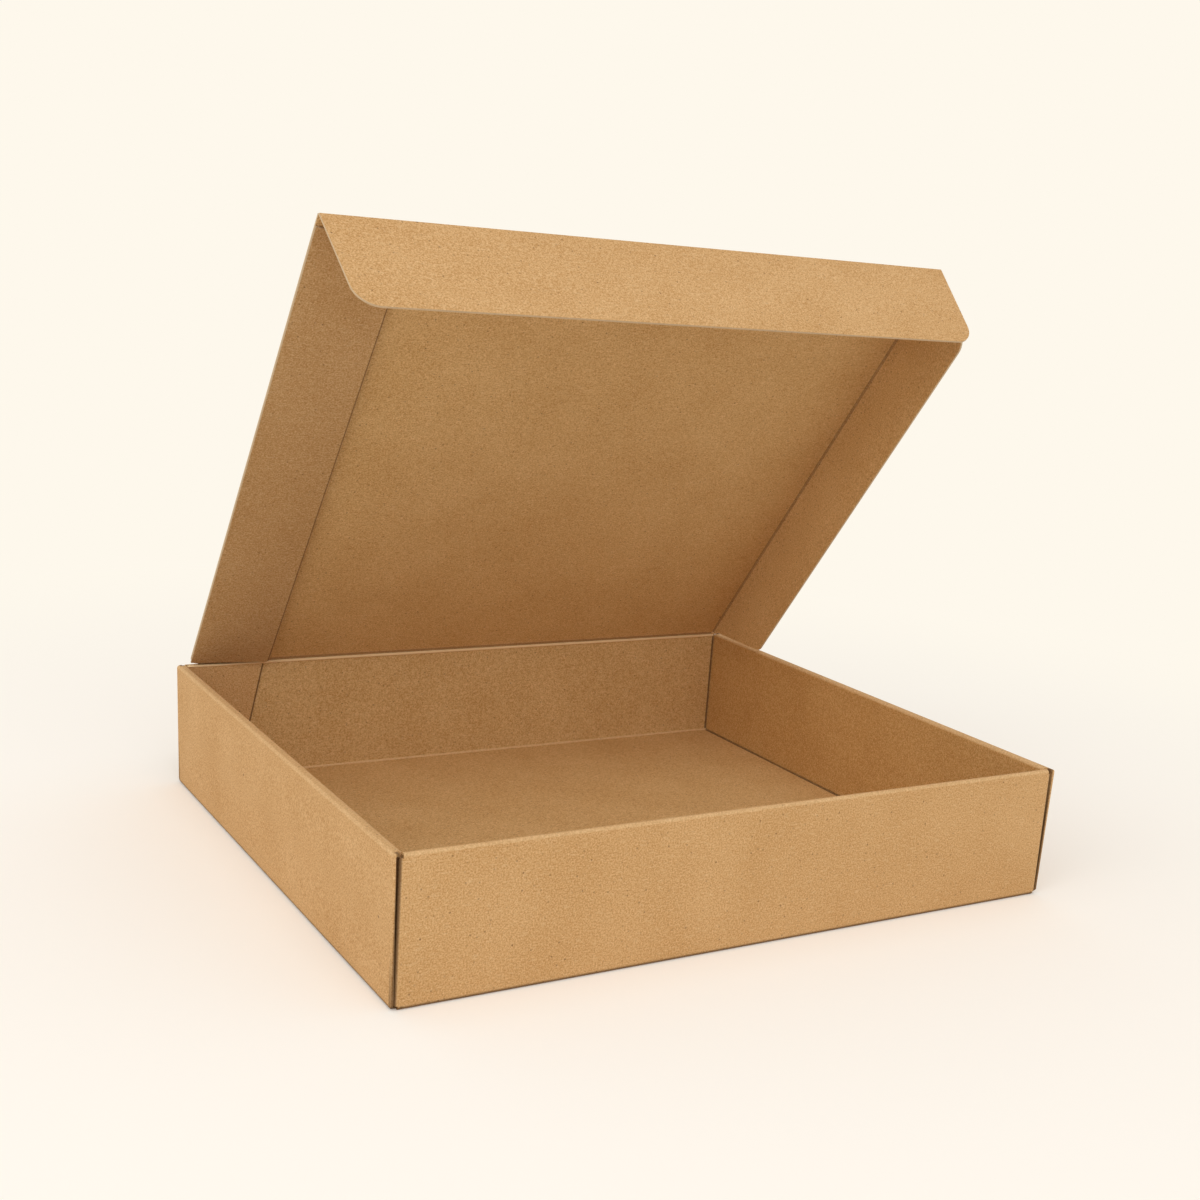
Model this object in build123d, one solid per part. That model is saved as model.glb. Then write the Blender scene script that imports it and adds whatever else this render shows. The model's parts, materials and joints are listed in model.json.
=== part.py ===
from build123d import *
import os

# A small kraft box with a hinged tuck-in lid, folded from a single die-cut sheet.
# Millimetres and degrees. The origin is the centre of the tray's underside, +X to the right,
# +Y towards the lid's hinge, +Z up. The lid stands half open, with its flaps folded.

# Sheet
board = 0.7                # thickness of the kraft board
crease_radius = 0.35       # inside radius of a creased fold
layer_gap = 0.1            # air between two layers that lie together
cut_gap = 0.3              # air between a cut edge and the fold beside it

# Tray
box_width = 235.0          # over the rolled tops of the side walls
box_depth = 203.0          # from the front face to the back face
wall_height = 44.0         # from the table to the top of the rolled walls
side_lean = 1.0            # how far each side wall's outer layer leans out at its top
front_roll = 1.5           # from the front wall's outer layer to its inner layer, centre to centre
foot_gap = 0.25            # air under the inner layers of the rolled walls
relief_chamfer = 1.5       # cut off the lower corners of the side walls

# Corner tabs, bent from the ends of the front and back walls and held inside the side walls
tab_length = 46.0
tab_chamfer = 7.0
tab_drop = 1.4             # from the top of the rolled walls down to a tab
tab_foot = 1.3             # from the table up to a tab

# Lock tabs under the inner layers of the rolled walls, and their slots in the base
lock_width = 26.0
lock_end_play = 0.4        # air at each end of a lock tab
lock_face_play = 0.2       # air at each face of a lock tab
lock_rise = 0.05           # from the table up to the end of a lock tab
side_lock_spacing = 96.0
front_lock_spacing = 120.0

# End tab of the left wall's inner layer, laid against the back wall
end_tab_reach = 31.0       # from the box's left side to the tab's slanted edge, at the wall's top
end_tab_foot_reach = 22.3  # the same at the base
end_tab_drop = 0.9         # from the top of the rolled walls down to the end tab

# Lid
lid_opening = 52.5         # angle of the lid above its closed place
hinge_gap = 0.12           # air between the back wall's top and the lid's rounded rear edge
lid_corner_radius = 3.0    # rear corners of the lid
seam_gap = 0.1             # air on each side of a flap's crease
flap_clearance = 0.3       # air between a hanging flap and the wall it tucks behind

# Side flaps of the lid
side_flap_depth = 28.0
side_flap_rear_start = 1.6   # from the hinge to the start of a side flap, along its crease
left_flap_rear_run = 0.6     # how much later the rear end lies at the free edge
left_flap_rear_radius = 1.0
right_flap_rear_run = 21.0   # long enough for the flap to swing over the side wall
right_flap_rear_radius = 4.0
side_flap_front_gap = 3.0    # from the hanging front flap back to a side flap
side_flap_front_run = 4.0    # how much earlier the front end lies at the free edge
side_flap_front_radius = 6.0
left_flap_fold = 176.0       # folded back under the lid
right_flap_fold = 91.0       # hanging, ready to tuck in

# Front flap of the lid
front_flap_depth = 34.0
front_flap_run = 2.7         # how much narrower each end is at the free edge
front_flap_radius = 8.0
front_flap_fold = 96.0

# Places that follow from the sizes above
fold_centre_radius = crease_radius + board / 2
fold_size = crease_radius + board
layer_pitch = board + layer_gap
front_face = -box_depth / 2
back_face = box_depth / 2
base_half_width = box_width / 2 - side_lean
roll_centre_z = wall_height - board / 2
outer_layer_foot_x = base_half_width - board / 2
outer_layer_top_x = box_width / 2 - board / 2
tab_centre_x = outer_layer_foot_x - layer_pitch
inner_layer_x = tab_centre_x - layer_pitch
side_inner_face = inner_layer_x - board / 2
wall_half_span = tab_centre_x + board / 2 - fold_size
front_wall_y = front_face + board / 2
front_inner_y = front_wall_y + front_roll
front_inner_face = front_inner_y + board / 2
back_wall_y = back_face - board / 2
end_tab_y = back_wall_y - layer_pitch
hinge_y = back_wall_y
hinge_z = wall_height + layer_gap + board / 2
flap_axis_drop = (board + layer_gap) / 2
flap_axis_z = hinge_z - flap_axis_drop
side_axis_x = side_inner_face - flap_clearance - flap_axis_drop - board / 2
front_axis_y = front_inner_face + flap_clearance + flap_axis_drop + board / 2


def across(y_high):
    # A section plane with X and Z as its own axes, which extrudes towards -Y.
    return Plane(origin=(0, y_high, 0), x_dir=(1, 0, 0), z_dir=(0, -1, 0))


def along(x_low):
    # A section plane with Y and Z as its own axes, which extrudes towards +X.
    return Plane(origin=(x_low, 0, 0), x_dir=(0, 1, 0), z_dir=(1, 0, 0))


def folded_strip(plane, length, points):
    # Board of constant thickness along a centreline with a rounded fold at each corner.
    centreline = FilletPolyline(*points, radius=fold_centre_radius)
    return plane * extrude(trace(centreline, board), length)


def outline(points, radii=()):
    # A closed outline. Each radius rounds the corner at the point with the same number.
    face = make_face(Polyline(*points, close=True))
    for point, radius in radii:
        corner = face.vertices().sort_by_distance((*points[point], 0))[0]
        face = fillet(corner, radius)
    return face


def flat_panel(plane, face):
    # Board centred on a plane, cut to an outline.
    return plane * extrude(face, board / 2, both=True)


def block(x_range, y_range, z_range):
    size = [high - low for low, high in (x_range, y_range, z_range)]
    centre = [(high + low) / 2 for low, high in (x_range, y_range, z_range)]
    return Pos(*centre) * Box(*size)


# Tray


def side_outer_layer():
    # Up the outside of the right wall, from the base and half way over the rolled top.
    reach = back_face - cut_gap
    points = [
        (wall_half_span - fold_size, board / 2),
        (outer_layer_foot_x, board / 2),
        (outer_layer_top_x, roll_centre_z),
        ((outer_layer_top_x + inner_layer_x) / 2, roll_centre_z),
    ]
    layer = folded_strip(across(reach), 2 * reach, points)
    cut = relief_chamfer
    trimmed = outline([
        (-reach + cut, 0),
        (reach - cut, 0),
        (reach, cut),
        (reach, wall_height),
        (-reach, wall_height),
        (-reach, cut),
    ])
    return layer & along(0) * extrude(trimmed, box_width)


def side_inner_layer():
    # The other half of the rolled top and the inside of the right wall, with its lock tabs.
    front = front_inner_face + cut_gap
    rear = back_face - board - cut_gap
    points = [
        ((outer_layer_top_x + inner_layer_x) / 2, roll_centre_z),
        (inner_layer_x, roll_centre_z),
        (inner_layer_x, board + foot_gap),
    ]
    layer = folded_strip(across(rear), rear - front, points)
    for y in (-side_lock_spacing / 2, side_lock_spacing / 2):
        layer += block(
            (inner_layer_x - board / 2, inner_layer_x + board / 2),
            (y - lock_width / 2, y + lock_width / 2),
            (lock_rise, board + 2 * foot_gap),
        )
    return layer


def corner_tab(wall_y, inward):
    # The fold at the right end of the front or back wall, and the tab inside the side wall.
    corner_y = wall_y + inward * fold_centre_radius
    tip_y = wall_y + inward * tab_length
    low, high = tab_foot, wall_height - tab_drop
    bend = [
        (wall_half_span - fold_size, wall_y),
        (tab_centre_x, wall_y),
        (tab_centre_x, corner_y + inward * fold_size),
    ]
    fold = folded_strip(Plane.XY.offset(low), high - low, bend)
    tab = outline([
        (corner_y, low),
        (tip_y - inward * tab_chamfer, low),
        (tip_y, low + tab_chamfer),
        (tip_y, high - tab_chamfer),
        (tip_y - inward * tab_chamfer, high),
        (corner_y, high),
    ])
    return fold + flat_panel(along(tab_centre_x), tab)


def front_wall():
    # Up the front, over the rolled top and down the inside, with lock tabs at the base.
    points = [
        (front_face + 2 * fold_size, board / 2),
        (front_wall_y, board / 2),
        (front_wall_y, roll_centre_z),
        (front_inner_y, roll_centre_z),
        (front_inner_y, board + foot_gap),
    ]
    wall = folded_strip(along(-wall_half_span), 2 * wall_half_span, points)
    for x in (-front_lock_spacing / 2, front_lock_spacing / 2):
        wall += block(
            (x - lock_width / 2, x + lock_width / 2),
            (front_inner_y - board / 2, front_inner_y + board / 2),
            (lock_rise, board + 2 * foot_gap),
        )
    return wall


def back_wall():
    # Up the back to the lid's crease.
    points = [
        (back_face - 2 * fold_size, board / 2),
        (back_wall_y, board / 2),
        (back_wall_y, hinge_z - board / 2 - hinge_gap),
    ]
    return folded_strip(along(-wall_half_span), 2 * wall_half_span, points)


def end_tab():
    # Bent from the rear end of the left wall's inner layer and laid against the back wall.
    low, high = tab_foot, wall_height - end_tab_drop
    left = -box_width / 2
    straight_x = -inner_layer_x + fold_centre_radius
    bend = [
        (-inner_layer_x, end_tab_y - 2 * fold_size),
        (-inner_layer_x, end_tab_y),
        (straight_x + fold_size, end_tab_y),
    ]
    fold = folded_strip(Plane.XY.offset(low), high - board - low, bend)
    face = outline([
        (straight_x, low),
        (left + end_tab_foot_reach, low),
        (left + end_tab_reach, high),
        (straight_x, high),
    ])
    return fold + flat_panel(across(end_tab_y), face)


def base_sheet():
    # The flat base between its creases, with a slot for each lock tab.
    sheet = block(
        (-wall_half_span, wall_half_span),
        (front_face + fold_size, back_face - fold_size),
        (0, board),
    )
    slot_half = lock_width / 2 + lock_end_play
    face_half = board / 2 + lock_face_play
    for x in (-inner_layer_x, inner_layer_x):
        for y in (-side_lock_spacing / 2, side_lock_spacing / 2):
            sheet -= block((x - face_half, x + face_half), (y - slot_half, y + slot_half), (0, board))
    for x in (-front_lock_spacing / 2, front_lock_spacing / 2):
        sheet -= block(
            (x - slot_half, x + slot_half),
            (front_inner_y - face_half, front_inner_y + face_half),
            (0, board),
        )
    return sheet


def make_tray():
    right_side = side_outer_layer() + side_inner_layer()
    tabs = corner_tab(front_wall_y, 1) + corner_tab(back_wall_y, -1)
    right_half = right_side + tabs
    tray = base_sheet() + front_wall() + back_wall()
    tray += right_half
    tray += mirror(right_half, about=Plane.YZ)
    tray += end_tab()
    return tray


# Lid and flaps, made in the lid's closed place and then turned about their creases


def open_with_lid(piece):
    return piece.rotate(Axis((0, hinge_y, hinge_z), (1, 0, 0)), -lid_opening)


def make_lid_panel():
    half_width = side_axis_x - seam_gap
    front_y = front_axis_y + seam_gap
    corner = lid_corner_radius
    face = outline(
        [(-half_width, hinge_y), (-half_width, front_y), (half_width, front_y), (half_width, hinge_y)],
        [(0, corner), (3, corner)],
    )
    rear_bead = Pos(0, hinge_y, hinge_z) * Rot(0, 90, 0) * Cylinder(board / 2, 2 * (half_width - corner))
    panel = flat_panel(Plane.XY.offset(hinge_z), face) + rear_bead
    return open_with_lid(panel)


def make_side_flap(side, fold, rear_run, rear_radius):
    # A right flap, flat beside the lid, turned down about its crease and mirrored for the left.
    near = side_axis_x + seam_gap
    far = side_axis_x + side_flap_depth
    rear_y = hinge_y - side_flap_rear_start
    front_y = front_axis_y + board + side_flap_front_gap
    face = outline(
        [
            (near, rear_y),
            (far, rear_y - rear_run),
            (far, front_y + side_flap_front_run),
            (near, front_y),
        ],
        [(1, rear_radius), (2, side_flap_front_radius)],
    )
    flap = flat_panel(Plane.XY.offset(hinge_z), face)
    flap = flap.rotate(Axis((side_axis_x, 0, flap_axis_z), (0, 1, 0)), fold)
    if side < 0:
        flap = mirror(flap, about=Plane.YZ)
    return open_with_lid(flap)


def make_front_flap():
    half_width = side_axis_x - seam_gap
    near = front_axis_y - seam_gap
    far = front_axis_y - front_flap_depth
    inset = half_width - front_flap_run
    face = outline(
        [(-half_width, near), (-inset, far), (inset, far), (half_width, near)],
        [(1, front_flap_radius), (2, front_flap_radius)],
    )
    flap = flat_panel(Plane.XY.offset(hinge_z), face)
    flap = flap.rotate(Axis((0, front_axis_y, flap_axis_z), (1, 0, 0)), front_flap_fold)
    return open_with_lid(flap)


pieces = {
    "tray": make_tray(),
    "lid_panel": make_lid_panel(),
    "front_tuck_flap": make_front_flap(),
    "left_side_flap": make_side_flap(-1, left_flap_fold, left_flap_rear_run, left_flap_rear_radius),
    "right_side_flap": make_side_flap(1, right_flap_fold, right_flap_rear_run, right_flap_rear_radius),
}

os.makedirs("parts", exist_ok=True)
for name, piece in pieces.items():
    piece.label = name
    export_step(piece, f"parts/{name}.step")
    print(f"{name}: {len(piece.solids())} solid, {piece.volume / 1000:.2f} cm3")
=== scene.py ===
import bpy
import bmesh
import json
from math import cos, degrees, radians, sin
from mathutils import Matrix, Vector


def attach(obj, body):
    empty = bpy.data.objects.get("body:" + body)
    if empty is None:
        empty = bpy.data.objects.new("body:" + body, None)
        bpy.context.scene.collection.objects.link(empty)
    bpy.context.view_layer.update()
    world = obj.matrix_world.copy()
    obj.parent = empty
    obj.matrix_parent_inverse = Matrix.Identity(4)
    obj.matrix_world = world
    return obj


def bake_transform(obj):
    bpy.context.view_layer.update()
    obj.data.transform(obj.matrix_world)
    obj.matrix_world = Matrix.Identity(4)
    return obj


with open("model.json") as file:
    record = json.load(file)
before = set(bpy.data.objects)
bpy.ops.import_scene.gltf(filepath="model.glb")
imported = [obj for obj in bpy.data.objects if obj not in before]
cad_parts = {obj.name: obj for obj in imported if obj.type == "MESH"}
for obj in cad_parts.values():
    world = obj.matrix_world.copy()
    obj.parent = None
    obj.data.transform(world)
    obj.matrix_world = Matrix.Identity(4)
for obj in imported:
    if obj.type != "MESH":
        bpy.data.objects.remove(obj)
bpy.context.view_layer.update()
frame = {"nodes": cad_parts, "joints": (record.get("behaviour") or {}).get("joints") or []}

mm = 0.001
bpy.ops.object.select_all(action="DESELECT")

# A small kraft board box with its lid half open, in metres. The tray, lid and flaps come from
# the frame. The bent board at each crease, which has to follow two panels, is made here.

joints = {joint["name"]: joint for joint in frame["joints"]}
lidOpening = -radians(joints["lid_hinge"]["range_deg"][0])  # the hinge's lower limit is the closed lid
acrossBox, backward, upward = Vector((1, 0, 0)), Vector((0, 1, 0)), Vector((0, 0, 1))
lidForward = Vector((0, -cos(lidOpening), sin(lidOpening)))  # from the hinge to the lid's front crease
lidOutward = Vector((0, sin(lidOpening), cos(lidOpening)))  # out of the lid's outer side
print("frame loaded, lid", round(degrees(lidOpening), 1), "degrees open")


# Materials


def toLinear(hexColour):
    channels = [int(hexColour[i:i + 2], 16) / 255 for i in (1, 3, 5)]
    linear = [c / 12.92 if c <= 0.04045 else ((c + 0.055) / 1.055) ** 2.4 for c in channels]
    return (*linear, 1.0)


def addNode(tree, kind, values=(), **settings):
    # A node with its properties, and each socket given a number, a colour or another node's output.
    node = tree.nodes.new("ShaderNode" + kind)
    for key, value in settings.items():
        setattr(node, key, value)
    for key, value in dict(values).items():
        if isinstance(value, bpy.types.NodeSocket):
            tree.links.new(value, node.inputs[key])
        else:
            node.inputs[key].default_value = value
    return node


def newMaterial(name):
    material = bpy.data.materials.new(name)
    material.use_nodes = True
    tree = material.node_tree
    tree.nodes.clear()
    return material, tree


kraft = {
    "board": "#CB9F69",  # the sheet in plain light
    "shade": "#B5854F",  # denser felt
    "light": "#DFB684",  # looser felt
    "pale": "#E3C193",  # bleached fibres that catch the light
    "dark": "#A17A48",  # darker fibres
    "fleck": "#6A4A2A",  # bark left in the pulp
    "core": "#CDB898",  # torn fibres along a cut edge
    "rubbedAndHighlight": "#F3D3A2",  # fibres raised and rubbed pale along a crease, and the colour of the painted highlight on the rolled tops and crease ridges
    "paintedShade": "#4E3217",  # painted shade where two layers meet, inside creases, along the tucked flap's edge and at the table
    "innerPaleAndLit": (0.05, 0.11, 0.1),  # how much paler the sheet's inner side is, per channel, with painted light that lifts the box's inside
    "rolledLayerShade": (-0.07, -0.1, -0.24),  # painted shade on the side walls' rolled inner layers, darker and warmer
    "cloudSize": 24.0,  # mm, uneven pulp across the sheet
    "cloudDetail": 3.0,
    "grainSize": 0.5,  # mm, the felt of short fibres
    "grainDetail": 4.0,
    "grainRoughness": 0.7,
    "grainShare": 0.88,  # of the felt, and the rest is cloud
    "feltRange": (0.375, 0.5, 0.625),  # the noise's values for shade, board and light
    "fibreLength": 3.4,  # mm
    "fibreWidth": 0.4,  # mm, wider than real so that it still shows
    "fibreDetail": 2.0,
    "fibreRange": (0.57, 0.75),  # the noise's values from no fibre to a whole one
    "fibreShare": 0.45,  # how strongly the fibres are tinted
    "paleTurn": (0.0, 0.0, 0.12),  # radians, how the pale fibres lie in the sheet
    "darkTurn": (0.35, 0.5, -0.7),
    "tooth": 0.022,  # mm, height of the felt
    "fibreRise": 0.4,  # how far the pale fibres stand up, against the felt
    "roughness": 0.88,
    "specular": 0.25,
}

marks = {
    "specks": {"tint": "fleck", "spacing": 2.1, "size": 0.33, "frequency": 0.75, "strength": 0.75},
    "fibreEnds": {"tint": "rubbedAndHighlight", "spacing": 2.9, "size": 0.27, "frequency": 0.7, "strength": 0.6},
    "barkFlecks": {"tint": "fleck", "spacing": 19.0, "size": 0.5, "frequency": 0.8, "strength": 0.9},
}  # spacing and size in mm, and the share of places that have a mark

markFade = (1.2, 0.4)  # where a mark starts and where it is whole, as shares of its size

# How strongly each mark shows: worn folds and torn cut edges, a painted highlight on the rolled tops,
# and painted shade in the seams, along the tucked edge and inside creases.
wearAndPaintedLight = {
    "folds": 0.12,  # how much paler the tray's rounded folds are
    # painted highlight on the rolled tops, where the light falls on them
    "rolledTopHighlight": 0.1,
    "seamShade": 0.75,  # how dark the painted shade is in the lines between the tray's layers and along the table
    "freeEdgeShadow": 0.6,  # how dark the painted shadow along the tucked flap's edge is
    "creaseShade": 0.42,  # how dark the painted shade on a crease's inner side is
    "cutEdge": 0.7,  # how much of the torn core shows on a cut edge
}

facing = {
    "squarely": 0.9,  # the least part of a normal along a direction, for a face that looks that way
    "fold": 0.97,  # the most of it along any of the tray's directions, for a rounded fold
    "cutEdge": 0.7,  # the most of it out of a panel, either way, for the panel's cut edge
    "innerSide": -0.5,  # the most of it out of a panel, for the panel's inner side
    "inward": 0.3,  # the most of it out of the lid, for the inner side of a crease
    "rolledTop": 0.2,  # the least of it upwards, for the top of a rolled wall
}

traySeams = {
    "wallTop": 42.7,  # mm, above this the rolled tops get a painted highlight
    "wallFace": 113.8,  # mm from the middle, at the foot of the side walls' inner layers
    "backFace": 100.6,  # mm, past this lies the back wall alone
    "cornerEnd": 101.0,  # mm, where the painted shade line in the back corner stops
    "outerFace": 101.2,  # mm, past this lies the back wall's outer side
    "innerLayer": 114.2,  # mm from the middle, the face of the side walls' inner layers
    "layerDepth": 1.2,  # mm, width of the band about that face
    "baseFace": 1.0,  # mm, below this lies the base alone
    "cornerGap": 115.9,  # mm from the middle, between the front wall's end and the side wall
    "gapWidth": 1.98,  # mm
    "gapFront": 99.5,  # mm
    "tabFace": 99.9,  # mm, past this lie the back wall and the end tab
    "tabFoot": Vector((-95.2, 0, 1.3)),  # mm, the end tab's slanted edge
    "tabTop": Vector((-86.5, 0, 43.1)),
    "width": 1.1,  # mm, of the painted shade lines
    "footHeight": 0.77,  # mm
    "tableLine": 2.6,  # mm, the painted contact shadow along the table, half of it above the table
}


def perMetre(sizeInMm):
    return 1 / (sizeInMm * mm)


def product(tree, *factors):
    result = factors[0]
    for factor in factors[1:]:
        result = addNode(tree, "Math", {0: result, 1: factor}, operation="MULTIPLY").outputs[0]
    return result


def largest(tree, *values):
    result = values[0]
    for value in values[1:]:
        result = addNode(tree, "Math", {0: result, 1: value}, operation="MAXIMUM").outputs[0]
    return result


def spanMask(tree, vector, direction, low=-2.0, high=2.0):
    # 1 where a place, in metres, or a normal reaches between two values in a direction.
    reach = addNode(tree, "VectorMath", {0: vector, 1: direction}, operation="DOT_PRODUCT")
    above = addNode(tree, "Math", {0: reach.outputs["Value"], 1: low}, operation="GREATER_THAN")
    below = addNode(tree, "Math", {0: reach.outputs["Value"], 1: high}, operation="LESS_THAN")
    return product(tree, above.outputs[0], below.outputs[0])


def lineMask(tree, place, direction, middle, width):
    # A soft line across a direction, its place and width in mm.
    reach = addNode(tree, "VectorMath", {0: place, 1: direction}, operation="DOT_PRODUCT")
    offset = addNode(tree, "Math", {0: reach.outputs["Value"], 1: middle * mm}, operation="SUBTRACT")
    away = addNode(tree, "Math", {0: offset.outputs[0]}, operation="ABSOLUTE")
    line = addNode(tree, "MapRange", {
        "Value": away.outputs[0], "From Min": width / 2 * mm, "From Max": width / 4 * mm})
    return line.outputs[0]


def layOver(tree, colour, tint, *shares):
    # Tints a colour by the product of the shares, each a mask or a number.
    share = product(tree, *shares)
    return addNode(tree, "Mix", {0: share, 6: colour, 7: toLinear(tint)}, data_type="RGBA").outputs[2]


def brighten(tree, colour, mask, extra):
    # Scales a colour, channel by channel, where the mask holds.
    gain = addNode(
        tree, "VectorMath", {0: mask, 1: extra, 2: (1.0, 1.0, 1.0)}, operation="MULTIPLY_ADD")
    return addNode(tree, "VectorMath", {0: colour, 1: gain.outputs[0]}, operation="MULTIPLY").outputs[0]


def fibreMask(tree, place, turn):
    # Long thin streaks that lie one way in the sheet.
    stretch = (1 / kraft["fibreLength"], 1 / kraft["fibreWidth"], 1 / kraft["fibreWidth"])
    low, high = kraft["fibreRange"]
    turned = addNode(tree, "Mapping", {"Vector": place, "Rotation": turn})
    drawn = addNode(tree, "Mapping", {"Vector": turned.outputs[0], "Scale": stretch})
    streaks = addNode(tree, "TexNoise", {
        "Vector": drawn.outputs[0], "Scale": 1 / mm, "Detail": kraft["fibreDetail"]})
    mask = addNode(tree, "MapRange", {"Value": streaks.outputs[0], "From Min": low, "From Max": high})
    return mask.outputs[0]


def markMask(tree, place, spacing, size, frequency):
    # Round marks in some of the cells, each with its own strength.
    cells = addNode(tree, "TexVoronoi", {"Vector": place, "Scale": perMetre(spacing)})
    begin, whole = (share * size / spacing for share in markFade)
    spot = addNode(tree, "MapRange", {
        "Value": cells.outputs["Distance"], "From Min": begin, "From Max": whole})
    chance = addNode(tree, "SeparateXYZ", {0: cells.outputs["Color"]})
    strength = addNode(tree, "MapRange", {
        "Value": chance.outputs[0], "From Min": 1 - frequency, "From Max": 1.0})
    return product(tree, spot.outputs[0], strength.outputs[0])


def foldMask(tree, normal):
    # The tray's rounded folds are the faces that look along none of its three directions.
    lengths = addNode(tree, "VectorMath", {0: normal}, operation="ABSOLUTE")
    longest = largest(tree, *addNode(tree, "SeparateXYZ", {0: lengths.outputs[0]}).outputs)
    return addNode(tree, "Math", {0: longest, 1: facing["fold"]}, operation="LESS_THAN").outputs[0]


def rolledTopHighlightMask(tree, place, normal):
    # The upward faces of the rolled tops, which get a painted highlight.
    return product(
        tree,
        spanMask(tree, place, upward, low=traySeams["wallTop"] * mm),
        spanMask(tree, normal, upward, low=facing["rolledTop"]))


def seamShadeMask(tree, place, normal):
    # Painted shade: the dark lines where the end tab, the side walls and the table meet their
    # neighbours, and in the front corners' gaps.
    mirrored = addNode(tree, "VectorMath", {0: place}, operation="ABSOLUTE").outputs[0]
    width = traySeams["width"]
    edge = (traySeams["tabTop"] - traySeams["tabFoot"]).normalized()
    clear = edge.cross(-backward)
    tabPlace = clear.dot(traySeams["tabFoot"]) + width / 4
    tabEdge = product(
        tree,
        lineMask(tree, place, clear, tabPlace, width),
        spanMask(tree, place, backward, traySeams["tabFace"] * mm, traySeams["outerFace"] * mm),
        spanMask(tree, place, acrossBox, high=0.0))
    wallLine = lineMask(tree, mirrored, acrossBox, traySeams["wallFace"], width)
    corner = product(
        tree,
        wallLine,
        spanMask(tree, place, backward, traySeams["backFace"] * mm, traySeams["cornerEnd"] * mm))
    foot = product(tree, wallLine, lineMask(tree, place, upward, traySeams["footHeight"], width))
    tableShadow = product(
        tree,
        lineMask(tree, place, upward, 0.0, traySeams["tableLine"]),
        spanMask(tree, normal, upward, -facing["squarely"], facing["squarely"]))
    gap = product(
        tree,
        lineMask(tree, mirrored, acrossBox, traySeams["cornerGap"], traySeams["gapWidth"]),
        spanMask(tree, mirrored, backward, low=traySeams["gapFront"] * mm))
    return largest(tree, tabEdge, corner, foot, tableShadow, gap)


def trayInsideLightAndShade(tree, place, normal):
    # The back wall's inside and the base show the sheet's inner side, paler and with painted light. A
    # rolled wall shows the outer side on both its faces, and its inner layer gets painted shade.
    mirrored = addNode(tree, "VectorMath", {0: place}, operation="ABSOLUTE").outputs[0]
    mirroredNormal = addNode(tree, "VectorMath", {0: normal}, operation="ABSOLUTE").outputs[0]
    back = product(
        tree,
        spanMask(tree, place, backward, low=traySeams["backFace"] * mm),
        spanMask(tree, normal, backward, high=-facing["squarely"]))
    base = product(
        tree,
        spanMask(tree, place, upward, high=traySeams["baseFace"] * mm),
        spanMask(tree, normal, upward, low=facing["squarely"]))
    shadedInnerLayer = product(
        tree,
        lineMask(tree, mirrored, acrossBox, traySeams["innerLayer"], traySeams["layerDepth"]),
        spanMask(tree, mirroredNormal, acrossBox, low=facing["squarely"]))
    return largest(tree, back, base), shadedInnerLayer


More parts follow.
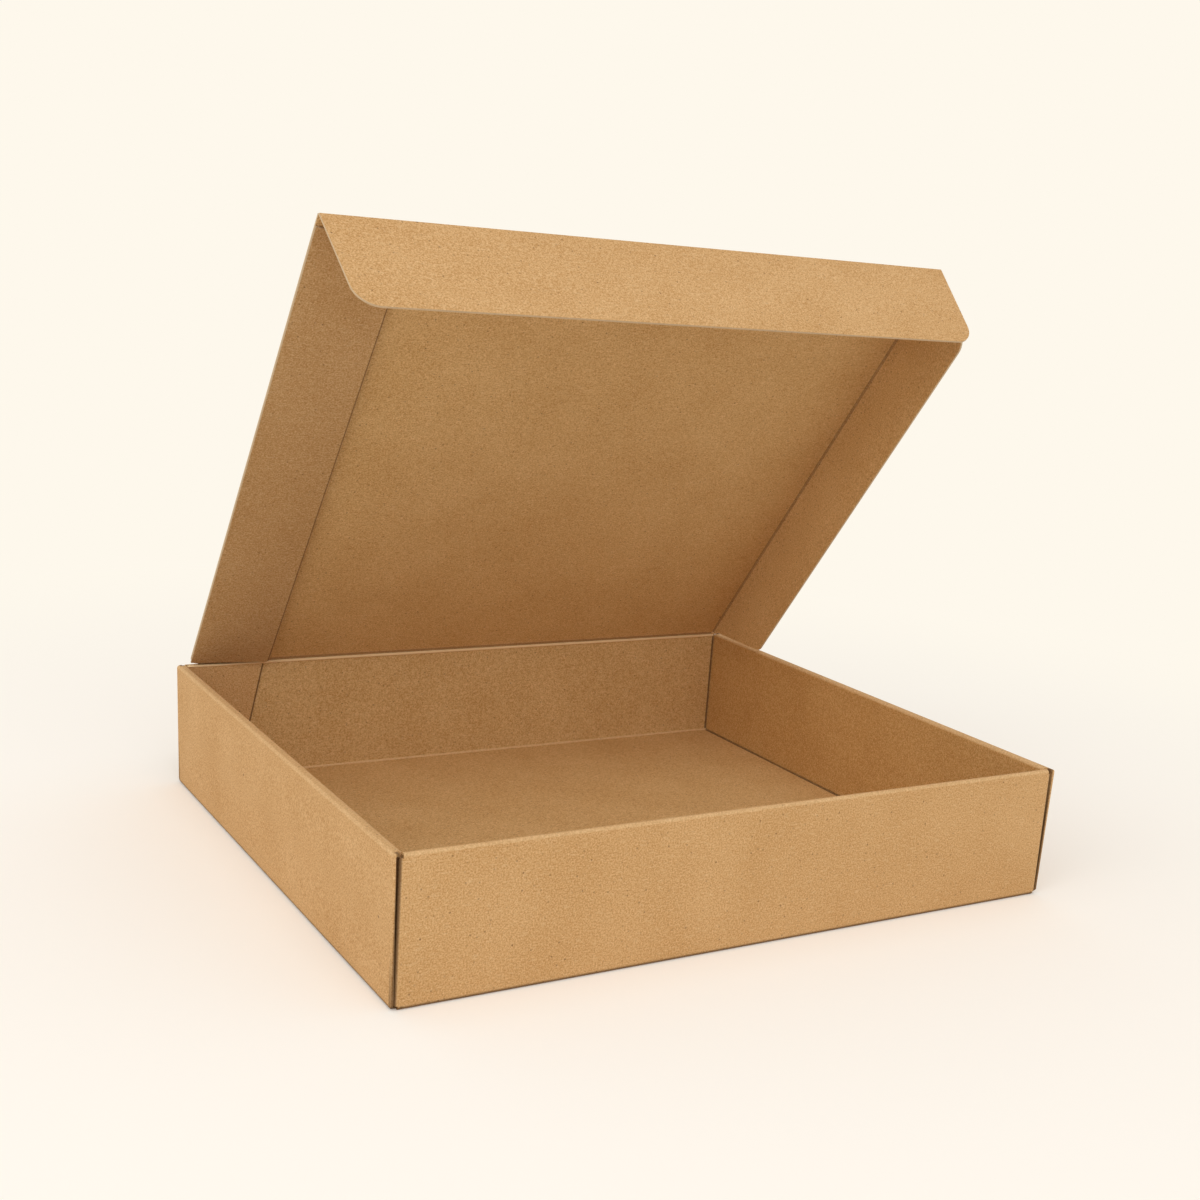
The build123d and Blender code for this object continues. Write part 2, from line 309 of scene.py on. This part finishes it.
def kraftBoard(name, panelNormal=None, folded=False, lift=0.0, shadeTone=1.0, edgeShadow=None, creaseShade=None):
    # Unbleached kraft board, calendered on a paper machine: matt, warm brown and felted,
    # with long pale and dark fibres, bark specks and a paler core where it is cut.
    # Over it go painted light on the box's inside, painted shade on the rolled inner layers, in seams,
    # inside creases and along the tucked edge, and painted highlights on the rolled tops and ridges.
    material, tree = newMaterial(name)
    coordinates = addNode(tree, "TexCoord")
    place, normal = coordinates.outputs["Object"], coordinates.outputs["Normal"]

    cloud = addNode(tree, "TexNoise", {
        "Vector": place, "Scale": perMetre(kraft["cloudSize"]), "Detail": kraft["cloudDetail"]})
    grain = addNode(tree, "TexNoise", {
        "Vector": place, "Scale": perMetre(kraft["grainSize"]), "Detail": kraft["grainDetail"],
        "Roughness": kraft["grainRoughness"]})
    felt = addNode(tree, "Mix", {0: kraft["grainShare"], 2: cloud.outputs[0], 3: grain.outputs[0]})
    ramp = addNode(tree, "ValToRGB", {0: felt.outputs[0]})
    low, middle, high = kraft["feltRange"]
    stops = ramp.color_ramp.elements
    stops[0].position = low
    stops[0].color = toLinear(kraft["shade"])
    stops[1].position = high
    stops[1].color = toLinear(kraft["light"])
    stops.new(middle).color = toLinear(kraft["board"])

    paleFibres = fibreMask(tree, place, kraft["paleTurn"])
    darkFibres = fibreMask(tree, place, kraft["darkTurn"])
    colour = layOver(tree, ramp.outputs[0], kraft["pale"], paleFibres, kraft["fibreShare"])
    colour = layOver(tree, colour, kraft["dark"], darkFibres, kraft["fibreShare"])
    for mark in marks.values():
        mask = markMask(tree, place, mark["spacing"], mark["size"], mark["frequency"])
        colour = layOver(tree, colour, kraft[mark["tint"]], mask, mark["strength"])

    if panelNormal is not None:
        # The paler inner side, with painted light on it.
        paleLitInside = spanMask(tree, normal, panelNormal, high=facing["innerSide"])
        colour = brighten(tree, colour, paleLitInside, kraft["innerPaleAndLit"])
    if folded:
        # Painted light on the tray's inside, and painted shade on the rolled inner layers.
        paleLitInside, shadedInnerLayer = trayInsideLightAndShade(tree, place, normal)
        colour = brighten(tree, colour, paleLitInside, kraft["innerPaleAndLit"])
        colour = brighten(tree, colour, shadedInnerLayer, kraft["rolledLayerShade"])
    # Rubbed pale fibres, and on the hinge and end-tab ridges also a painted highlight.
    if lift:
        colour = layOver(tree, colour, kraft["rubbedAndHighlight"], lift)
    if folded:
        colour = layOver(tree, colour, kraft["pale"], foldMask(tree, normal), wearAndPaintedLight["folds"])
        # Painted highlight on the rolled tops.
        topHighlight = rolledTopHighlightMask(tree, place, normal)
        colour = layOver(tree, colour, kraft["rubbedAndHighlight"], topHighlight, wearAndPaintedLight["rolledTopHighlight"])
        # Painted shade in the seams, the front corners' gaps and along the table.
        seamShade = seamShadeMask(tree, place, normal)
        colour = layOver(tree, colour, kraft["paintedShade"], seamShade, wearAndPaintedLight["seamShade"])
    # Painted shadow along the tucked flap's free edge.
    if edgeShadow is not None:
        line = lineMask(tree, place, **edgeShadow)
        colour = layOver(tree, colour, kraft["paintedShade"], line, wearAndPaintedLight["freeEdgeShadow"])
    # Painted shade on the inner side of a crease.
    if creaseShade is not None:
        line = lineMask(tree, place, **creaseShade)
        inward = spanMask(tree, normal, lidOutward, high=facing["inward"])
        colour = layOver(tree, colour, kraft["paintedShade"], line, inward, wearAndPaintedLight["creaseShade"])
    if panelNormal is not None:
        cutEdge = spanMask(tree, normal, panelNormal, -facing["cutEdge"], facing["cutEdge"])
        colour = layOver(tree, colour, kraft["core"], cutEdge, wearAndPaintedLight["cutEdge"])
    # Painted shade over the whole sheet.
    if shadeTone != 1.0:
        colour = layOver(tree, colour, "#000000", 1 - shadeTone)

    height = addNode(
        tree, "Math", {0: paleFibres, 1: kraft["fibreRise"], 2: grain.outputs[0]},
        operation="MULTIPLY_ADD")
    bump = addNode(tree, "Bump", {
        "Height": height.outputs[0], "Distance": kraft["tooth"] * mm, "Strength": 1.0})
    shader = addNode(tree, "BsdfPrincipled", {
        "Base Color": colour, "Roughness": kraft["roughness"], "Specular IOR Level": kraft["specular"],
        "Normal": bump.outputs[0]})
    addNode(tree, "OutputMaterial", {0: shader.outputs[0]})
    return material


def boardName(piece):
    return "kraftBoard" + piece.title().replace("_", "")


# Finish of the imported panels


def dress(node, material):
    slots = frame["nodes"][node].data.materials
    slots.clear()
    slots.append(material)


flaps = {
    "front_tuck_flap": {"joint": "front_flap_crease", "fold": 96, "shadeTone": 1.0},
    "left_side_flap": {"joint": "left_flap_crease", "fold": 176, "shadeTone": 0.82},
    "right_side_flap": {"joint": "right_flap_crease", "fold": 91, "shadeTone": 1.0},
}  # degrees, as they stand, and the share of the colour that painted shade leaves

tuckedFlap = {
    "node": "left_side_flap",
    "depth": 28.0,  # mm, from its crease to its free edge
    "shadowWidth": 1.0,  # mm, of the painted shadow line along that edge
}


def freeEdgeShadow(joint, fold):
    # Where the painted shadow along the tucked flap's free edge lies: the way from its crease to that
    # edge, and how far along it the edge lies.
    crease = Vector(joint["pos_m"])
    away = Matrix.Rotation(radians(fold), 3, Vector(joint["axis"])) @ -acrossBox
    middle = away.dot(crease) / mm + tuckedFlap["depth"]
    return {"direction": away, "middle": middle, "width": tuckedFlap["shadowWidth"]}


dress("tray", kraftBoard("kraftBoardFolded", folded=True))
dress("lid_panel", kraftBoard("kraftBoardLid", panelNormal=lidOutward))
for node, flap in flaps.items():
    joint = joints[flap["joint"]]
    outerSide = Matrix.Rotation(radians(flap["fold"]), 3, Vector(joint["axis"])) @ lidOutward
    tucked = node == tuckedFlap["node"]
    dress(node, kraftBoard(
        boardName(node), panelNormal=outerSide, shadeTone=flap["shadeTone"],
        edgeShadow=freeEdgeShadow(joint, flap["fold"]) if tucked else None))
print("panels finished:", 2 + len(flaps))


# Creases: a thin sleeve of bent board over each seam


def verticesWhere(piece, test):
    mesh = bmesh.from_edit_mesh(piece.data)
    return {vertex.index for vertex in mesh.verts if test(vertex.co)}


def chooseVertices(piece, indices):
    bpy.ops.mesh.select_mode(type="VERT")
    bpy.ops.mesh.select_all(action="DESELECT")
    mesh = bmesh.from_edit_mesh(piece.data)
    for vertex in mesh.verts:
        vertex.select_set(vertex.index in indices)
    mesh.select_flush_mode()
    bmesh.update_edit_mesh(piece.data)


def cutRing(place, direction):
    bpy.ops.mesh.select_all(action="SELECT")
    bpy.ops.mesh.bisect(plane_co=place, plane_no=direction)


def foldedSleeve(name, crease):
    # Made flat with its crease along X, cut into rings and folded down about that line.
    length, reach, thickness = (crease[key] * mm for key in ("length", "reach", "thickness"))
    ringGap = crease["ringGap"] * mm
    bpy.ops.object.select_all(action="DESELECT")
    bpy.ops.mesh.primitive_cube_add(size=1, location=(0, 0, crease["aboveAxis"] * mm))
    sleeve = bpy.context.object
    sleeve.name = name
    bpy.ops.transform.resize(value=(length, 2 * reach, thickness))
    bpy.ops.object.transform_apply(location=True, rotation=True, scale=True)
    bpy.ops.object.mode_set(mode="EDIT")
    for across in (-ringGap, 0, ringGap):
        cutRing((0, across, 0), (0, 1, 0))
    for end in (-1, 1):
        cutRing((end * (length / 2 - thickness / 2), 0, 0), (1, 0, 0))
    bend = verticesWhere(sleeve, lambda place: abs(place.y) < ringGap / 2)
    flapSide = verticesWhere(sleeve, lambda place: place.y > ringGap / 2)
    fold = radians(crease["fold"])
    chooseVertices(sleeve, bend)
    bpy.ops.transform.resize(value=(1, 1, crease["bead"]), center_override=(0, 0, 0))
    bpy.ops.transform.rotate(value=fold / 2, orient_axis="X", center_override=(0, 0, 0))
    chooseVertices(sleeve, flapSide)
    bpy.ops.transform.rotate(value=fold, orient_axis="X", center_override=(0, 0, 0))
    bpy.ops.object.mode_set(mode="OBJECT")
    return sleeve


def layOnCrease(sleeve, crease):
    # Puts the sleeve on its joint's line and rounds it.
    joint = joints[crease["joint"]]
    toFlap, outward = crease["toFlap"], crease["outward"]
    middle = Vector(joint["pos_m"])
    hinge = Vector(joints["lid_hinge"]["pos_m"])
    middle += acrossBox * crease["sideways"] * mm
    if crease["fromHinge"] is not None:
        middle += lidForward * (crease["fromHinge"] * mm - (middle - hinge).dot(lidForward))
    place = Matrix((toFlap.cross(outward), toFlap, outward)).transposed().to_4x4()
    place.translation = middle
    bpy.ops.object.select_all(action="DESELECT")
    sleeve.select_set(True)
    bpy.context.view_layer.objects.active = sleeve
    sleeve.matrix_world = place
    bpy.ops.object.transform_apply(location=True, rotation=True, scale=True)
    bpy.ops.object.shade_smooth()
    rounding = sleeve.modifiers.new("rounding", "SUBSURF")
    rounding.levels = rounding.render_levels = crease["rounding"]
    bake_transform(sleeve)


panelCrease = {
    "outward": lidOutward,  # out of the panel that the flap hangs from
    "reach": 1.6,  # mm over each panel
    "thickness": 0.74,  # mm, so that its skin lies just outside the 0.7 mm board
    "aboveAxis": 0.4,  # mm from the joint's line up to the middle of the board
    "ringGap": 0.02,  # mm, so that the three rings of the fold share one line
    "blendReach": 0.01,  # mm each way, over which the sleeve goes from one panel to the other
    "bead": 1.0,  # how much thicker the bend is
    "fromHinge": None,  # mm from the hinge to the sleeve's middle, where it lies along the lid
    "sideways": 0.0,  # mm
    "rounding": 2,
    "lift": 0.12,  # share of fibres rubbed pale
    "creaseShade": None,  # painted shade on the inner side: its direction, middle and width in mm
}

hingeLine = lidForward.dot(Vector(joints["lid_hinge"]["pos_m"])) / mm

creases = {
    "lid_right_crease": {
        **panelCrease, "joint": "right_flap_crease", "toFlap": acrossBox, "fold": 91,
        "length": 194.3, "fromHinge": 98.35, "reach": 1.1, "lift": 0.0,
        "creaseShade": {"direction": acrossBox, "middle": 113.3, "width": 3.0}},
    "lid_left_crease": {
        **panelCrease, "joint": "left_flap_crease", "toFlap": -acrossBox, "fold": 176,
        "length": 192.6, "fromHinge": 99.2, "lift": 0.4},
    "lid_front_crease": {
        **panelCrease, "joint": "front_flap_crease", "toFlap": lidForward, "fold": 96,
        "length": 225.6},
    "lid_hinge_crease": {
        **panelCrease, "joint": "lid_hinge", "toFlap": upward, "outward": backward,
        "fold": 90 - degrees(lidOpening), "length": 223.2, "sideways": 1.6,
        "aboveAxis": 0.0, "ringGap": 0.9, "reach": 2.4, "blendReach": 0.3, "bead": 1.2,
        "creaseShade": {"direction": lidForward, "middle": hingeLine + 0.4, "width": 1.8}},
}

for name, crease in creases.items():
    sleeve = foldedSleeve(name, crease)
    sleeve.data.materials.append(
        kraftBoard(boardName(name), lift=crease["lift"], creaseShade=crease["creaseShade"]))
    layOnCrease(sleeve, crease)
print("creases bent:", len(creases))


creaseBeads = {
    "base_crease_bead": {
        "radius": 0.5,  # mm
        "left": -93.0,  # mm, clear of the end tab
        "right": 113.8,
        "place": (100.62, 0.88),  # mm, in the corner of the base and the back wall
        "lift": 0.45},
    "hinge_crease_bead": {
        "radius": 0.55,
        "left": -87.0,
        "right": 113.6,
        "place": (100.68, 43.5),  # under the lid's hinge line, on the back wall
        # rubbed pale fibres with a painted highlight along the ridge
        "lift": 0.95},
    "end_tab_bead": {
        "radius": 0.45,
        "left": -114.1,
        "right": -87.0,
        "place": (100.1, 43.5),  # along the end tab's top
        # rubbed pale fibres with a painted highlight along the ridge
        "lift": 0.95},
    "hinge_end_bead": {
        "radius": 0.7,
        "left": 112.6,
        "right": 116.4,
        "place": (100.8, 44.6),  # by the hinge line, past the bent board's right end
        "lift": 0.0},
}

ridgeShape = {
    "sides": 12,
    "smoothAngle": 40,  # degrees, up to which its faces are shaded as one
}


def creaseBead(name, bead):
    # A ridge along X, as a creasing rule raises it inside a fold of the back wall.
    left, right = bead["left"] * mm, bead["right"] * mm
    y, z = (value * mm for value in bead["place"])
    bpy.ops.object.select_all(action="DESELECT")
    bpy.ops.mesh.primitive_circle_add(
        vertices=ridgeShape["sides"], radius=bead["radius"] * mm, fill_type="NGON",
        location=(left, y, z), rotation=(0, radians(90), 0))
    ridge = bpy.context.object
    ridge.name = name
    bpy.ops.object.transform_apply(location=True, rotation=True, scale=True)
    bpy.ops.object.mode_set(mode="EDIT")
    bpy.ops.mesh.select_all(action="SELECT")
    bpy.ops.mesh.extrude_region_move(TRANSFORM_OT_translate={"value": (right - left, 0, 0)})
    bpy.ops.mesh.select_all(action="SELECT")
    bpy.ops.mesh.normals_make_consistent(inside=False)
    bpy.ops.object.mode_set(mode="OBJECT")
    bpy.ops.object.shade_smooth_by_angle(angle=radians(ridgeShape["smoothAngle"]))
    ridge.data.materials.append(kraftBoard(boardName(name), lift=bead["lift"]))
    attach(ridge, "tray")


for name, bead in creaseBeads.items():
    creaseBead(name, bead)
print("crease ridges raised:", len(creaseBeads))


# Floor, light and camera

stage = {
    "background": "#FEF8EC",
    "floor": "#F9F3EA",
    "floorLift": 0.1,  # share of the background that the floor shows by itself
    "floorRadius": 4.0,  # m
    "floorSides": 96,
    "fadeStart": 0.15,  # m from the middle of the box
    "fadeEnd": 0.5,
}


def seenRays(tree):
    # 1 for what the camera, a reflection or a clear material sees, and 0 for the light on the box.
    rays = addNode(tree, "LightPath").outputs
    return largest(tree, rays["Is Camera Ray"], rays["Is Glossy Ray"], rays["Is Transmission Ray"])


def paleFloor():
    # Matt painted studio floor that fades into a plain bright background away from the box.
    material, tree = newMaterial("mattPaintFloor")
    place = addNode(tree, "TexCoord").outputs["Object"]
    distance = addNode(tree, "VectorMath", {0: place}, operation="LENGTH").outputs["Value"]
    fade = addNode(tree, "MapRange", {
        "Value": distance, "From Min": stage["fadeStart"], "From Max": stage["fadeEnd"]},
        interpolation_type="SMOOTHSTEP")
    seen = seenRays(tree)
    share = product(tree, fade.outputs[0], seen)
    lift = product(tree, seen, stage["floorLift"])
    backdrop = toLinear(stage["background"])
    paint = addNode(tree, "BsdfDiffuse", {"Color": toLinear(stage["floor"])})
    veil = addNode(tree, "Emission", {"Color": backdrop, "Strength": lift})
    near = addNode(tree, "AddShader", {0: paint.outputs[0], 1: veil.outputs[0]})
    glow = addNode(tree, "Emission", {"Color": backdrop, "Strength": 1.0})
    blend = addNode(tree, "MixShader", {0: share, 1: near.outputs[0], 2: glow.outputs[0]})
    addNode(tree, "OutputMaterial", {0: blend.outputs[0]})
    return material


bpy.ops.object.select_all(action="DESELECT")
bpy.ops.mesh.primitive_circle_add(
    vertices=stage["floorSides"], radius=stage["floorRadius"], fill_type="NGON")
floor = bpy.context.object
floor.name = "studioFloor"
floor.data.materials.append(paleFloor())

light = {
    "ambientStrength": 0.7,
    "aim": (0, 0, 0.06),  # m
    "lamps": {
        "frontSoftbox": {"place": (-0.25, -1.4, 1.75), "size": 1.3, "power": 9.3},
        "leftSoftbox": {"place": (-1.3, -1.0, 1.6), "size": 1.3, "power": 4.6},
        "leftFill": {"place": (-1.6, -0.45, 0.7), "size": 1.2, "power": 4.5},
    },  # m and W
}


def softLamp(name, place, size, power):
    lamp = bpy.data.lights.new(name, "AREA")
    lamp.shape = "DISK"
    lamp.size = size
    lamp.energy = power
    holder = bpy.data.objects.new(name, lamp)
    holder.location = place
    holder.rotation_euler = (Vector(light["aim"]) - Vector(place)).to_track_quat("-Z", "Y").to_euler()
    bpy.context.scene.collection.objects.link(holder)


for name, lamp in light["lamps"].items():
    softLamp(name, **lamp)

world = bpy.data.worlds.new("studioWorld")
bpy.context.scene.world = world
world.use_nodes = True
worldTree = world.node_tree
worldTree.nodes.clear()
soft = addNode(worldTree, "Background", {
    "Color": (1.0, 1.0, 1.0, 1.0), "Strength": light["ambientStrength"]})
shown = addNode(worldTree, "Background", {"Color": toLinear(stage["background"]), "Strength": 1.0})
either = addNode(worldTree, "MixShader", {
    0: seenRays(worldTree), 1: soft.outputs[0], 2: shown.outputs[0]})
addNode(worldTree, "OutputWorld", {0: either.outputs[0]})
print("floor and lamps set:", len(light["lamps"]))

cameraView = {
    "place": (-272.2, -462.6, 193.4),  # mm
    "yaw": 32.56,  # degrees to the right of straight ahead
    "pitch": -13.43,
    "roll": 4.54,
    "lens": 48.19,  # mm on a 36 mm sensor
    "sensor": 36.0,
    "shift": (-0.05, 0.05),
}

lens = bpy.data.cameras.new("photoCamera")
lens.sensor_width = cameraView["sensor"]
lens.lens = cameraView["lens"]
lens.shift_x, lens.shift_y = cameraView["shift"]
camera = bpy.data.objects.new("photoCamera", lens)
bpy.context.scene.collection.objects.link(camera)
camera.matrix_world = (
    Matrix.Translation(Vector(cameraView["place"]) * mm)
    @ Matrix.Rotation(-radians(cameraView["yaw"]), 4, "Z")
    @ Matrix.Rotation(radians(90 + cameraView["pitch"]), 4, "X")
    @ Matrix.Rotation(radians(cameraView["roll"]), 4, "Z")
)
bpy.context.scene.camera = camera
bpy.context.scene.view_settings.view_transform = "Standard"
print("camera placed")
